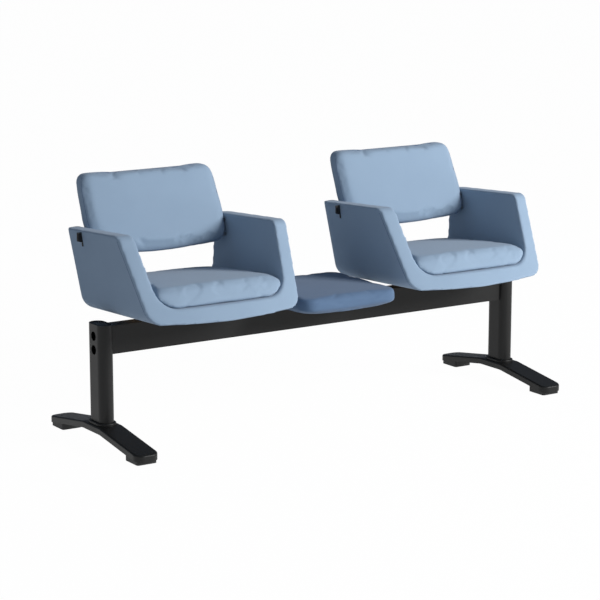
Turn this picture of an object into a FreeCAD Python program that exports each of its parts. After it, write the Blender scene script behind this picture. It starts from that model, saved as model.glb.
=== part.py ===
import FreeCAD
import Part
import Sketcher
import math
import os
import re
from FreeCAD import Vector

# Beam seating: two upholstered tub chairs and a small upholstered table pad
# on one steel beam, carried by a T-shaped leg at each end.
# Millimetres. +X runs along the beam, -Y is the front, +Z is up.
# The origin is on the floor under the middle of the beam.

SIZES = {
    "leg_spacing": 1477,
    "chair_spacing": 911,
    "fit_gap": 0.3,
    # The beam is a rectangular tube between the two leg columns.
    "beam_height": 84,
    "beam_depth": 50,
    "beam_wall": 3,
    "beam_top": 354,
    # Each column is a flat-sided oval tube.
    "column_width": 48,
    "column_depth": 90,
    "column_wall": 3,
    "column_top": 360,
    "access_hole": 28,
    "beam_bolt_pitch": 41,
    "beam_bolt_drop": 49.5,
    "cap_recess": 2,
    "cap_thickness": 8,
    "end_plate_thickness": 12,
    "column_base_thickness": 10,
    "foot_bolt_pitch": 44,
    # Each foot is an arched steel blade with a collar for the column.
    "foot_length": 556,
    "foot_width": 76,
    "foot_end_top": 29,
    "foot_crown_top": 62,
    "foot_thickness": 20,
    "foot_corner": 26,
    "foot_edge": 5,
    "foot_bend": 70,
    "collar_margin": 7,
    "collar_height": 8,
    # Levelling glides: a moulded pad on a threaded stem.
    "glide_width": 64,
    "glide_length": 74,
    "glide_inset": 10,
    "glide_gap": 0.5,
    "glide_corner": 7,
    "stem_radius": 4.93,
    "stem_bore": 5.0,
    "stem_cover": 5,
    # Chair shell: seat and arms in one padded band, open at the back.
    # The tilt is in degrees: the seat falls towards the back.
    "seat_tilt": 2.6,
    "shell_bottom": 370,
    "seat_thickness": 48,
    "shell_half_width": 254,
    "shell_rise": 10,
    "belly_radius": 2000,
    "arm_lean": 0.132,
    "arm_thickness": 48,
    "outer_corner": 45,
    "inner_corner": 66,
    "arm_top_front": 632,
    "arm_top_drop": 21,
    "arm_length_back": 224,
    "back_lean": 0.125,
    "arm_back_round": 38,
    "arm_nose_round": 30,
    "front_reach": 275,
    "front_lean": 0.51,
    "front_bow_radius": 1250,
    # Seat cushion on the shell, with a crown; its top falls more than the seat.
    "cushion_half_width": 211,
    "cushion_inset": 6,
    "cushion_height": 51,
    "cushion_fall": 2.3,
    "cushion_corner_gap": 2,
    "cushion_crown_radius": 3600,
    "cushion_edge": 14,
    # Back pad between the arms, reclined; widest where it passes the arm tops.
    "pad_top": 764,
    "pad_widest": 622,
    "pad_bottom": 520,
    "pad_half_top": 224,
    "pad_half_widest": 234,
    "pad_half_bottom": 223,
    "pad_smile": 18,
    "pad_side_bow": 300,
    "pad_smile_radius": 1600,
    "pad_top_corner": 34,
    "pad_bottom_corner": 42,
    "pad_thickness": 66,
    "pad_back_bow": 6,
    "pad_front_bow": 12,
    "pad_lean": 0.49,
    "pad_back_reach": 277,
    "pad_front_edge": 24,
    "pad_back_edge": 8,
    "stud_radius": 5,
    "stud_length": 42,
    "stud_pitch": 40,
    "stud_drop": 60,
    # Base boards set into the undersides of the shells and the table pad.
    "board_thickness": 12,
    "seat_board_width": 340,
    "seat_board_depth": 280,
    "table_board_width": 280,
    "table_board_depth": 270,
    # Steel carriers between the beam and the boards.
    "plate_thickness": 5,
    "seat_plate_width": 220,
    "seat_plate_depth": 150,
    "table_plate_width": 210,
    "table_plate_depth": 120,
    "saddle_length": 120,
    "saddle_wall": 5,
    "saddle_skirt": 22,
    "lug_width": 30,
    "seat_hole_inset": 25,
    "table_hole_inset_x": 20,
    "table_hole_inset_y": 12,
    # Fasteners.
    "bolt_radius": 5,
    "bolt_head_radius": 8,
    "bolt_head_height": 8,
    "bolt_clearance": 0.3,
    "screw_radius": 4,
    "screw_head_radius": 6.5,
    "screw_head_height": 6,
    "screw_pitch": 70,
    "screw_tail": 4,
    "board_cover": 2,
    # Table pad between the chairs.
    "table_width": 344,
    "table_front": 225,
    "table_back": 130,
    "table_bottom": 355,
    "table_thickness": 47,
    "table_corner": 45,
    "table_edge": 12,
    "table_lower_edge": 9,
    "table_crown_radius": 4400,
    # Plain woven tab on the outer side of each chair's left arm.
    "tab_reach": 16,
    "tab_height": 42,
    "tab_thickness": 1.6,
    "tab_drop": 6,
    "tab_corner": 3,
    "tab_back": 108,
}

doc = FreeCAD.newDocument("BeamSeating")
sheet = doc.addObject("Spreadsheet::Sheet", "Sizes")
for row, (alias, number) in enumerate(SIZES.items(), start=1):
    sheet.set("A%d" % row, alias)
    sheet.set("B%d" % row, str(number))
    sheet.setAlias("B%d" % row, alias)
doc.recompute()

parts = []


def size(alias):
    """The number that a named cell of the sheet holds."""
    return float(getattr(sheet, alias))


def formula(text):
    """An expression with each size name pointed at its cell."""
    def point(match):
        word = match.group(0)
        return "Sizes." + word if word in SIZES else word
    return re.sub(r"[a-z_]+", point, text)


def bind(item, **formulas):
    for prop, text in formulas.items():
        item.setExpression(prop, formula(text))
    return item


def place(item, x="0", y="0", z="0"):
    for axis, text in (("x", x), ("y", y), ("z", z)):
        item.setExpression("Placement.Base." + axis, formula(text))
    return item


def keep(item, node):
    """Name a finished sub-part and list it for export."""
    item.Label = node
    parts.append(item)
    return item


# Parametric primitives and booleans.

def box(name, wide, deep, high, x, y, z):
    item = bind(doc.addObject("Part::Box", name), Length=wide, Width=deep, Height=high)
    return place(item, x, y, z)


TURNS = {
    "up": FreeCAD.Rotation(),
    "down": FreeCAD.Rotation(Vector(1, 0, 0), 180),
    "right": FreeCAD.Rotation(Vector(0, 1, 0), 90),
    "left": FreeCAD.Rotation(Vector(0, 1, 0), -90),
    "front": FreeCAD.Rotation(Vector(1, 0, 0), 90),
    "back": FreeCAD.Rotation(Vector(1, 0, 0), -90),
}


def rod(name, radius, length, way, x, y, z):
    """A cylinder that starts at a point and runs one way."""
    item = bind(doc.addObject("Part::Cylinder", name), Radius=radius, Height=length)
    item.Placement.Rotation = TURNS[way]
    return place(item, x, y, z)


def fuse(name, pieces):
    item = doc.addObject("Part::MultiFuse", name)
    item.Shapes = pieces
    return item


def cut(name, base, tools):
    item = doc.addObject("Part::Cut", name)
    item.Base = base
    item.Tool = tools[0] if len(tools) == 1 else fuse(name + "Tools", tools)
    return item


def group(name, pieces):
    """Identical loose pieces that share one node."""
    item = doc.addObject("Part::Compound", name)
    item.Links = pieces
    return item


def cap_screw(name, radius, head_radius, head_height, length, way, x, y, z):
    """A socket head screw whose head's underside sits at the given point."""
    back = {"up": "down", "down": "up", "right": "left",
            "left": "right", "front": "back", "back": "front"}[way]
    shank = rod(name + "Shank", radius, length, way, x, y, z)
    head = rod(name + "Head", head_radius, head_height, back, x, y, z)
    body = fuse(name + "Solid", [shank, head])
    socket = bind(doc.addObject("Part::Prism", name + "Socket"),
                  Circumradius=radius + " * 0.6", Height=head_height + " * 0.6")
    socket.Polygon = 6
    socket.Placement.Rotation = TURNS[way]
    step = "(%s)" % head_height
    sign = {"up": ("", "", "-"), "down": ("", "", "+"), "right": ("-", "", ""),
            "left": ("+", "", ""), "front": ("", "+", ""), "back": ("", "-", "")}[way]
    spots = [p + s + step if s else p for p, s in zip((x, y, z), sign)]
    place(socket, *spots)
    return cut(name, body, [socket])


# Bodies built from sketches.

def plane(body, role):
    return [f for f in body.Origin.OriginFeatures if f.Role == role][0]


def new_sketch(body, name, role):
    sketch = body.newObject("Sketcher::SketchObject", name)
    sketch.AttachmentSupport = (plane(body, role), [""])
    sketch.MapMode = "FlatFace"
    return sketch


def limit(sketch, constraint, text):
    """Add a measured constraint and bind it to a formula."""
    index = sketch.addConstraint(constraint)
    sketch.setExpression("Constraints[%d]" % index, formula(text))


def rectangle(sketch, wide, high):
    """A rectangle centred on the sketch's origin."""
    first = sketch.GeometryCount
    corners = [Vector(-9, -9, 0), Vector(9, -9, 0), Vector(9, 9, 0), Vector(-9, 9, 0)]
    for side in range(4):
        sketch.addGeometry(Part.LineSegment(corners[side], corners[(side + 1) % 4]))
    for side in range(4):
        following = first + (side + 1) % 4
        sketch.addConstraint(Sketcher.Constraint("Coincident", first + side, 2, following, 1))
    for side, kind in enumerate(("Horizontal", "Vertical", "Horizontal", "Vertical")):
        sketch.addConstraint(Sketcher.Constraint(kind, first + side))
    sketch.addConstraint(Sketcher.Constraint("Symmetric", first, 1, first + 1, 2, -1, 1))
    limit(sketch, Sketcher.Constraint("DistanceX", first, 1, first, 2, 18), wide)
    limit(sketch, Sketcher.Constraint("DistanceY", first + 1, 1, first + 1, 2, 18), high)


def slot(sketch, wide, deep, width_now, depth_now):
    """A flat-sided oval centred on the origin, longer along Y."""
    first = sketch.GeometryCount
    radius = width_now / 2
    centre = (depth_now - width_now) / 2
    up = Vector(0, 0, 1)
    sketch.addGeometry(Part.LineSegment(Vector(radius, -centre, 0), Vector(radius, centre, 0)))
    top = Part.Circle(Vector(0, centre, 0), up, radius)
    sketch.addGeometry(Part.ArcOfCircle(top, 0, math.pi))
    sketch.addGeometry(Part.LineSegment(Vector(-radius, centre, 0), Vector(-radius, -centre, 0)))
    bottom = Part.Circle(Vector(0, -centre, 0), up, radius)
    sketch.addGeometry(Part.ArcOfCircle(bottom, math.pi, 2 * math.pi))
    for side in range(4):
        following = first + (side + 1) % 4
        sketch.addConstraint(Sketcher.Constraint("Tangent", first + side, 2, following, 1))
    sketch.addConstraint(Sketcher.Constraint("Vertical", first))
    sketch.addConstraint(Sketcher.Constraint("Symmetric", first + 1, 3, first + 3, 3, -1, 1))
    sketch.addConstraint(Sketcher.Constraint("PointOnObject", first + 1, 3, -2))
    reach = Sketcher.Constraint("DistanceY", first + 3, 3, first + 1, 3, depth_now - width_now)
    limit(sketch, reach, "%s - (%s)" % (deep, wide))
    limit(sketch, Sketcher.Constraint("Radius", first + 1, radius), "(%s) / 2" % wide)


def circle(sketch, radius, across, high, spot):
    """A circle in the sketch's positive quarter or on its upright axis."""
    index = sketch.addGeometry(Part.Circle(Vector(spot[0], spot[1], 0), Vector(0, 0, 1), 3))
    limit(sketch, Sketcher.Constraint("Radius", index, 3), radius)
    if across is None:
        sketch.addConstraint(Sketcher.Constraint("PointOnObject", index, 3, -2))
    else:
        limit(sketch, Sketcher.Constraint("DistanceX", -1, 1, index, 3, spot[0]), across)
    limit(sketch, Sketcher.Constraint("DistanceY", -1, 1, index, 3, spot[1]), high)


def pad(body, name, sketch, length):
    item = body.newObject("PartDesign::Pad", name)
    item.Profile = sketch
    return bind(item, Length=length)


def pocket(body, name, sketch, length, towards_normal):
    """Cut from the sketch one way, and check that it took material."""
    doc.recompute()
    before = body.Shape.Volume
    item = body.newObject("PartDesign::Pocket", name)
    item.Profile = sketch
    item.Reversed = towards_normal
    bind(item, Length=length)
    doc.recompute()
    if body.Shape.Volume >= before:
        raise RuntimeError(name + " cuts nothing")
    return item


def plate_with_holes(name, wide, deep, thick, hole_wide, hole_deep, radius):
    """A flat plate with a hole near each corner of a smaller rectangle."""
    body = doc.addObject("PartDesign::Body", name)
    outline = new_sketch(body, name + "Outline", "XY_Plane")
    rectangle(outline, wide, deep)
    pad(body, name + "Pad", outline, thick)
    holes = new_sketch(body, name + "Holes", "XY_Plane")
    first = holes.GeometryCount
    rectangle(holes, hole_wide, hole_deep)
    for side in range(4):
        holes.toggleConstruction(first + side)
    for side in range(4):
        index = holes.addGeometry(Part.Circle(Vector(20, 20 + side, 0), Vector(0, 0, 1), 3))
        holes.addConstraint(Sketcher.Constraint("Coincident", index, 3, first + side, 1))
        limit(holes, Sketcher.Constraint("Radius", index, 3), radius)
    pocket(body, name + "Drill", holes, thick, True)
    return body


# Outlines with rounded corners, for the arched and upholstered pieces.

def rounded(corners, lift):
    """A closed wire through (u, v, radius) corners; lift maps u, v to space."""
    edges = []
    count = len(corners)
    starts = []
    ends = []
    middles = []
    for index in range(count):
        u, v, radius = corners[index]
        before = corners[index - 1]
        after = corners[(index + 1) % count]
        to_before = Vector(before[0] - u, before[1] - v, 0).normalize()
        to_after = Vector(after[0] - u, after[1] - v, 0).normalize()
        here = Vector(u, v, 0)
        half = to_before.getAngle(to_after) / 2
        reach = radius / math.tan(half)
        middle = (to_before + to_after).normalize()
        starts.append(here + to_before * reach)
        ends.append(here + to_after * reach)
        middles.append(here + middle * (radius / math.sin(half) - radius))
    for index in range(count):
        start = starts[index]
        end = ends[index]
        if corners[index][2] > 0:
            spots = [lift(p.x, p.y) for p in (start, middles[index], end)]
            edges.append(Part.Arc(*spots).toShape())
        following = starts[(index + 1) % count]
        if end.distanceToPoint(following) > 0.001:
            line = Part.LineSegment(lift(end.x, end.y), lift(following.x, following.y))
            edges.append(line.toShape())
    return Part.Wire(edges)


def prism(corners, lift, run):
    """A rounded outline swept straight along run."""
    return Part.Face(rounded(corners, lift)).extrude(run)


def in_xz(y):
    return lambda u, v: Vector(u, y, v)


def in_yz(x):
    return lambda u, v: Vector(x, u, v)


def in_xy(z):
    return lambda u, v: Vector(u, v, z)


def soften(shape, radius, chosen):
    """Round the chosen edges of a solid."""
    return shape.makeFillet(radius, [edge for edge in shape.Edges if chosen(edge)])


def feature(name, shape, x="0"):
    item = doc.addObject("Part::Feature", name)
    item.Shape = shape
    return place(item, x)


def crown(shape, top, middle_y, radius, edge, fall=0):
    """Trim a piece with a large ball, and round the edge of its crowned top.

    The top has the given height at middle_y, and falls by an angle in degrees.
    """
    turn = math.radians(fall)
    centre = Vector(0, middle_y - radius * math.sin(turn), top - radius * math.cos(turn))
    shape = shape.common(Part.makeSphere(radius, centre))
    crowned = [face for face in shape.Faces if isinstance(face.Surface, Part.Sphere)]
    return shape.makeFillet(edge, crowned[0].Edges)


# The beam and its ends.

BEAM_LENGTH = "(leg_spacing - column_width)"
SIDES = {"left": "-", "right": ""}


def make_beam():
    body = doc.addObject("PartDesign::Body", "Beam")
    section = new_sketch(body, "BeamSection", "YZ_Plane")
    rectangle(section, "beam_depth", "beam_height")
    rectangle(section, "beam_depth - 2 * beam_wall", "beam_height - 2 * beam_wall")
    pad(body, "BeamPad", section, BEAM_LENGTH)
    holes = new_sketch(body, "BeamScrewHoles", "XZ_Plane")
    length = size("leg_spacing") - size("column_width")
    up = size("beam_height") / 2 - size("saddle_skirt") / 2
    for centre in ("- chair_spacing / 2", "", "+ chair_spacing / 2"):
        for side in (-1, 1):
            shift = {"": 0, "-": -1, "+": 1}[centre[:1]] * size("chair_spacing") / 2
            along = length / 2 + shift + side * size("screw_pitch") / 2
            text = "%s / 2 %s %+d * screw_pitch / 2" % (BEAM_LENGTH, centre, side)
            circle(holes, "screw_radius + bolt_clearance", text,
                   "beam_height / 2 - saddle_skirt / 2", (along, up))
    pocket(body, "BeamScrewPocket", holes, "beam_depth", False)
    place(body, "-%s / 2" % BEAM_LENGTH, "0", "beam_top - beam_height / 2")
    keep(body, "beam")


def bolt_heights():
    middle = "beam_top - beam_bolt_drop"
    return (middle + " - beam_bolt_pitch / 2", middle + " + beam_bolt_pitch / 2")


def make_leg(side):
    sign = SIDES[side]
    name = side.capitalize()
    centre = sign + "leg_spacing / 2"
    inward = "right" if side == "left" else "left"
    bolts_up = size("beam_top") - size("beam_bolt_drop") - size("foot_crown_top")

    # The column starts in the foot's collar, on the crown.
    column = doc.addObject("PartDesign::Body", name + "Column")
    section = new_sketch(column, name + "ColumnSection", "XY_Plane")
    slot(section, "column_width", "column_depth", size("column_width"), size("column_depth"))
    slot(section, "(column_width - 2 * column_wall)", "column_depth - 2 * column_wall",
         size("column_width") - 2 * size("column_wall"),
         size("column_depth") - 2 * size("column_wall"))
    pad(column, name + "ColumnPad", section, "column_top - foot_crown_top")
    for kind, radius, outward in (("Access", "access_hole / 2", True),
                                  ("Fixing", "bolt_radius + bolt_clearance", False)):
        holes = new_sketch(column, name + "Column" + kind, "YZ_Plane")
        for text in bolt_heights():
            circle(holes, radius, None, text + " - foot_crown_top", (0, bolts_up))
        pocket(column, name + "Column" + kind + "Pocket", holes, "column_width", outward)
    if side == "left":
        column.Placement.Rotation = FreeCAD.Rotation(Vector(0, 0, 1), 180)
    place(column, centre, "0", "foot_crown_top")
    keep(column, side + "_column")

    # A plastic cap sits just below the rim, and a steel base closes the bottom.
    for piece, thick, lower in (
            ("cap", "cap_thickness", "column_top - cap_recess - cap_thickness"),
            ("base", "column_base_thickness", "foot_crown_top")):
        body = doc.addObject("PartDesign::Body", name + piece.capitalize())
        outline = new_sketch(body, name + piece.capitalize() + "Outline", "XY_Plane")
        inside = 2 * size("column_wall") + 2 * size("fit_gap")
        slot(outline, "(column_width - 2 * column_wall - 2 * fit_gap)",
             "column_depth - 2 * column_wall - 2 * fit_gap",
             size("column_width") - inside, size("column_depth") - inside)
        pad(body, body.Name + "Pad", outline, thick)
        if piece == "base":
            reach = size("foot_bolt_pitch") / 2
            for end, way in (("Back", 1), ("Front", -1)):
                holes = new_sketch(body, body.Name + "Hole" + end, "XY_Plane")
                index = holes.addGeometry(Part.Circle(
                    Vector(0, way * reach, 0), Vector(0, 0, 1), 3))
                limit(holes, Sketcher.Constraint("Radius", index, 3),
                      "bolt_radius + bolt_clearance")
                holes.addConstraint(Sketcher.Constraint("PointOnObject", index, 3, -2))
                ends = (-1, 1, index, 3) if way > 0 else (index, 3, -1, 1)
                limit(holes, Sketcher.Constraint("DistanceY", *ends, reach),
                      "foot_bolt_pitch / 2")
                pocket(body, holes.Name + "Pocket", holes, thick, True)
        place(body, centre, "0", lower)
        keep(body, side + "_column_" + piece)

    # A drilled plate closes each end of the beam; two screws clamp it to the column.
    if side == "left":
        start = "-%s / 2" % BEAM_LENGTH
    else:
        start = "%s / 2 - end_plate_thickness" % BEAM_LENGTH
    blank = box(name + "EndPlateBlank", "end_plate_thickness", "beam_depth - 2 * beam_wall",
                "beam_height - 2 * beam_wall", start, "beam_wall - beam_depth / 2",
                "beam_top - beam_height + beam_wall")
    drills = []
    screws = []
    face = sign + "(leg_spacing / 2 - column_width / 2 + column_wall)"
    for number, text in enumerate(bolt_heights()):
        tag = "%s%d" % (name, number)
        drills.append(rod("EndPlateDrill" + tag, "bolt_radius + bolt_clearance",
                          "end_plate_thickness", "right", start, "0", text))
        screws.append(cap_screw("BeamBolt" + tag, "bolt_radius", "bolt_head_radius",
                                "bolt_head_height", "column_wall + end_plate_thickness",
                                inward, face, "0", text))
    keep(cut(name + "EndPlate", blank, drills), side + "_beam_end_plate")
    keep(group(name + "BeamBolts", screws), side + "_beam_bolts")

    # Two screws from under the foot hold the column's base down.
    screws = []
    for number, way in enumerate(("-", "")):
        screws.append(cap_screw("FootBolt%s%d" % (name, number), "bolt_radius",
                                "bolt_head_radius", "bolt_head_height",
                                "foot_thickness + column_base_thickness", "up", centre,
                                way + "foot_bolt_pitch / 2", "foot_crown_top - foot_thickness"))
    keep(group(name + "FootBolts", screws), side + "_foot_bolts")


# The feet and their glides.

def foot_flat():
    """Half the length of the level stretch under the column."""
    return size("column_depth") / 2 + size("collar_margin")


def foot_slope():
    rise = size("foot_crown_top") - size("foot_end_top")
    return rise / (size("foot_length") / 2 - foot_flat())


def glide_span():
    """Inner and outer end of a glide, measured from the column."""
    outer = size("foot_length") / 2 - size("glide_inset")
    return outer - size("glide_length"), outer


def foot_underside(distance):
    """Height of the foot's underside at a distance from the column."""
    run = size("foot_length") / 2 - distance
    return size("foot_end_top") - size("foot_thickness") + run * foot_slope()


def column_outline(margin):
    wide = size("column_width") / 2 + margin
    deep = size("column_depth") / 2 + margin
    return [(-wide, -deep, wide), (wide, -deep, wide), (wide, deep, wide), (-wide, deep, wide)]


def make_foot(side):
    half_width = size("foot_width") / 2
    half_length = size("foot_length") / 2
    flat = foot_flat()
    crown_top = size("foot_crown_top")
    end_top = size("foot_end_top")
    thick = size("foot_thickness")
    bend = size("foot_bend")
    arch = [(-half_length, end_top - thick, 0), (-half_length, end_top, 0),
            (-flat, crown_top, bend), (flat, crown_top, bend),
            (half_length, end_top, 0), (half_length, end_top - thick, 0),
            (flat, crown_top - thick, bend), (-flat, crown_top - thick, bend)]
    blade = prism(arch, in_yz(-half_width), Vector(2 * half_width, 0, 0))
    corner = size("foot_corner")
    plan = [(-half_width, -half_length, corner), (half_width, -half_length, corner),
            (half_width, half_length, corner), (-half_width, half_length, corner)]
    tall = crown_top + thick
    blade = blade.common(prism(plan, in_xy(-thick), Vector(0, 0, tall + thick)))

    def on_top_outline(edge):
        """An edge of the blade's upper face."""
        for vertex in edge.Vertexes:
            run = half_length - max(abs(vertex.Y), 0)
            slope_top = min(end_top + run * foot_slope(), crown_top)
            if abs(vertex.Z - slope_top) > 3:
                return False
        middle = edge.valueAt((edge.FirstParameter + edge.LastParameter) / 2)
        on_side = abs(abs(middle.x) - half_width) < 0.01
        on_end = abs(middle.y) > half_length - corner - 0.01
        return on_side or on_end

    blade = soften(blade, size("foot_edge"), on_top_outline)
    margin = size("collar_margin")
    collar_low = crown_top - thick / 2
    collar = prism(column_outline(margin), in_xy(collar_low),
                   Vector(0, 0, thick / 2 + size("collar_height")))
    collar_top = crown_top + size("collar_height")
    collar = soften(collar, margin / 2, lambda e: min(v.Z for v in e.Vertexes) > collar_top - 0.01)
    seat = prism(column_outline(size("fit_gap")), in_xy(crown_top), Vector(0, 0, thick))
    foot = blade.fuse(collar).cut(seat)
    for way in (-1, 1):
        screw = Part.makeCylinder(size("bolt_radius") + size("bolt_clearance"), crown_top + thick,
                                  Vector(0, way * size("foot_bolt_pitch") / 2, 0))
        foot = foot.cut(screw)
        inner, outer = glide_span()
        middle = (inner + outer) / 2
        depth = foot_underside(middle) + thick - size("stem_cover")
        bore = Part.makeCylinder(size("stem_bore"), depth, Vector(0, way * middle, 0))
        foot = foot.cut(bore)
    keep(feature(side.capitalize() + "Foot", foot, SIDES[side] + "leg_spacing / 2"),
         side + "_foot")


def make_glide(side, end):
    """A moulded pad whose top follows the foot, with its stem."""
    inner, outer = glide_span()
    way = -1 if end == "front" else 1
    half = size("glide_width") / 2
    gap = size("glide_gap")
    profile = [(way * inner, 0, 0), (way * outer, 0, 0),
               (way * outer, foot_underside(outer) - gap, 0),
               (way * inner, foot_underside(inner) - gap, 0)]
    pad_shape = prism(profile, in_yz(-half), Vector(2 * half, 0, 0))
    corner = size("glide_corner")
    pad_shape = soften(pad_shape, corner, lambda e: len(e.Vertexes) == 2 and abs(
        e.Vertexes[0].X - e.Vertexes[1].X) < 0.01 and abs(
            e.Vertexes[0].Y - e.Vertexes[1].Y) < 0.01)
    middle = (inner + outer) / 2
    thick = size("foot_thickness")
    top = foot_underside(middle) + thick - size("stem_cover") - 1
    low = foot_underside(outer) / 2
    stem = Part.makeCylinder(size("stem_radius"), top - low, Vector(0, way * middle, low))
    glide = pad_shape.fuse(stem)
    name = side.capitalize() + end.capitalize() + "Glide"
    keep(feature(name, glide, SIDES[side] + "leg_spacing / 2"), "%s_%s_glide" % (side, end))


# The chairs. Heights of the seat and arms are given on the tilted seat: they are
# true at the middle of the chair, and fall with the seat towards the back.

def seat_fall():
    """How far the seat falls for each millimetre towards the back."""
    return math.tan(math.radians(size("seat_tilt")))


def on_seat(y, z):
    """The seat's own height of a point."""
    return z + y * seat_fall()


def along_seat(corners, start, end):
    """An outline of x and seat heights, swept along the chair from start to end."""
    return prism(corners, lambda u, v: Vector(u, start, v - start * seat_fall()),
                 Vector(0, end - start, (start - end) * seat_fall()))


def outer_x(z):
    """Half width of the shell's outside at a height on the seat."""
    return size("shell_half_width") + size("arm_lean") * (z - arm_base())


def arm_base():
    return size("shell_bottom") + size("shell_rise") + size("outer_corner") / 2


def inner_x(z):
    return outer_x(z) - size("arm_thickness")


def seat_top():
    return size("shell_bottom") + size("seat_thickness")


def front_y(x, z):
    """The leaning, bowed front face of the chair."""
    bow = x * x / (2 * size("front_bow_radius"))
    return -size("front_reach") + bow + size("front_lean") * (z - size("shell_bottom"))


def front_waste(offset):
    """Everything in front of the chair's front face, moved back by offset."""
    low = size("shell_bottom") / 2
    high = 2 * size("arm_top_front")
    wide = 2 * size("shell_half_width")
    spots = [Vector(x, front_y(x, low) + offset, low) for x in (-wide, 0, wide)]
    bow = Part.Arc(*spots).toShape()
    far = -4 * size("front_reach")
    corners = [spots[2], Vector(wide, far, low), Vector(-wide, far, low), spots[0]]
    sides = [Part.LineSegment(a, b).toShape() for a, b in zip(corners, corners[1:])]
    rise = high - low
    return Part.Face(Part.Wire([bow] + sides)).extrude(
        Vector(0, size("front_lean") * rise, rise))


def back_y(z):
    """The leaning back edge of the seat and arms."""
    return size("arm_length_back") - size("back_lean") * (size("arm_top_front") - z)


def back_waste(offset):
    """Everything behind the back edge, moved forward by offset."""
    low = size("shell_bottom") / 2
    high = 2 * size("arm_top_front")
    far = 2 * back_y(high)
    corners = [(back_y(low) - offset, low, 0), (far, low, 0), (far, high, 0),
               (back_y(high) - offset, high, 0)]
    wide = 2 * size("shell_half_width")
    return prism(corners, in_yz(-wide), Vector(2 * wide, 0, 0))


def arm_top(y):
    """Height of the arm at a distance along the chair."""
    nose = front_y(size("shell_half_width"), size("arm_top_front"))
    run = size("arm_length_back") - nose
    return size("arm_top_front") - size("arm_top_drop") * (y - nose) / run


def middle_of(edge):
    return edge.valueAt((edge.FirstParameter + edge.LastParameter) / 2)


def make_shell_shape():
    low = size("shell_bottom")
    side_low = low + size("shell_rise")
    tall = size("arm_top_front") + size("arm_thickness")
    corner = size("outer_corner")
    inside = size("inner_corner")
    belly = size("belly_radius")
    slope = math.atan(size("shell_rise") / size("shell_half_width"))
    band = [(-outer_x(tall), tall, 0), (-outer_x(side_low), side_low, corner),
            (0, low - belly * (1 / math.cos(slope) - 1), belly),
            (outer_x(side_low), side_low, corner), (outer_x(tall), tall, 0),
            (inner_x(tall), tall, 0), (inner_x(seat_top()), seat_top(), inside),
            (-inner_x(seat_top()), seat_top(), inside), (-inner_x(tall), tall, 0)]
    far = 2 * size("front_reach")
    shell = along_seat(band, -far, far)
    shell = shell.cut(front_waste(0))
    shell = shell.cut(back_waste(0))
    wide = 2 * size("shell_half_width")
    above = [(-far, arm_top(-far), 0), (far, arm_top(far), 0), (far, 2 * tall, 0),
             (-far, 2 * tall, 0)]
    shell = shell.cut(prism(above, in_yz(-wide), Vector(2 * wide, 0, 0)))

    def outer_back(edge):
        """The outline of the shell's outside on its back plane."""
        if any(abs(v.Y - back_y(v.Z)) > 0.01 for v in edge.Vertexes):
            return False
        if all(v.Z > arm_top(v.Y) - 0.01 for v in edge.Vertexes):
            return False
        spot = middle_of(edge)
        height = on_seat(spot.y, spot.z)
        below = height < low + corner
        return below or abs(spot.x) > (outer_x(height) + inner_x(height)) / 2

    shell = soften(shell, size("arm_back_round"), outer_back)

    def nose(edge):
        """The front edge of each arm's top."""
        spot = middle_of(edge)
        flat = all(v.Z > arm_top(v.Y) - 0.5 for v in edge.Vertexes)
        return flat and abs(spot.y - front_y(spot.x, spot.z)) < 1.0

    shell = soften(shell, size("arm_nose_round"), nose)
    return shell


def stud_places():
    """Depth and height of the studs that join the back pad to an arm."""
    places = []
    for number in range(2):
        z = arm_top(0) - size("stud_drop") / 2 - number * size("stud_pitch")
        places.append((pad_back_y(z) - size("pad_thickness") / 2, z))
    return places


def stud_solids(growth):
    solids = []
    for side in (-1, 1):
        for y, z in stud_places():
            length = size("stud_length") + 2 * growth
            start = inner_x(on_seat(y, z)) - length / 2
            solids.append(Part.makeCylinder(size("stud_radius") + growth, length,
                                            Vector(side * start, y, z), Vector(side, 0, 0)))
    return solids


def board_pocket(wide, deep, y, low, top):
    gap = size("fit_gap")
    return Part.makeBox(wide + 2 * gap, deep + 2 * gap, top - low + gap,
                        Vector(-wide / 2 - gap, y - deep / 2 - gap, low))


def pad_back_y(z):
    """The back face of the back pad, on the chair's centre line."""
    return size("pad_back_reach") - size("pad_lean") * (size("pad_top") - z)


def make_back_pad_shape():
    bottom = size("pad_bottom")
    top = size("pad_top")
    thick = size("pad_thickness")
    widest = size("pad_half_widest")
    right = [(size("pad_half_bottom"), bottom + size("pad_smile"), size("pad_bottom_corner")),
             (widest, size("pad_widest"), size("pad_side_bow")),
             (size("pad_half_top"), top, size("pad_top_corner"))]
    left = [(-u, v, radius) for u, v, radius in reversed(right)]
    far = 2 * size("pad_back_reach")
    face_on = prism([(0, bottom, size("pad_smile_radius"))] + right + left, in_xz(-far),
                    Vector(0, 2 * far, 0))

    def face_y(x, z, depth, bow):
        """A bowed face of the pad: depth in front of the back, and bow at its sides."""
        return pad_back_y(z) - depth + bow * (x / widest) ** 2

    faces = ((0, -size("pad_back_bow")), (thick, size("pad_front_bow")))
    wide = widest + thick
    low = bottom - thick
    rise = top + thick - low
    lines = []
    for depth, bow in faces:
        lines.append([Vector(x, face_y(x, low, depth, bow), low) for x in (-wide, 0, wide)])
    rear, fore = lines
    edges = [Part.Arc(*rear).toShape(), Part.LineSegment(rear[2], fore[2]).toShape(),
             Part.Arc(*reversed(fore)).toShape(), Part.LineSegment(fore[0], rear[0]).toShape()]
    slab = Part.Face(Part.Wire(edges)).extrude(Vector(0, size("pad_lean") * rise, rise))
    pad_shape = slab.common(face_on)
    for (depth, bow), radius in zip(faces, (size("pad_back_edge"), size("pad_front_edge"))):
        def rim(edge):
            """An edge where this face meets the pad's border."""
            spot = middle_of(edge)
            return abs(spot.y - face_y(spot.x, spot.z, depth, bow)) < 1.5

        pad_shape = soften(pad_shape, radius, rim)
    return pad_shape


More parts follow.
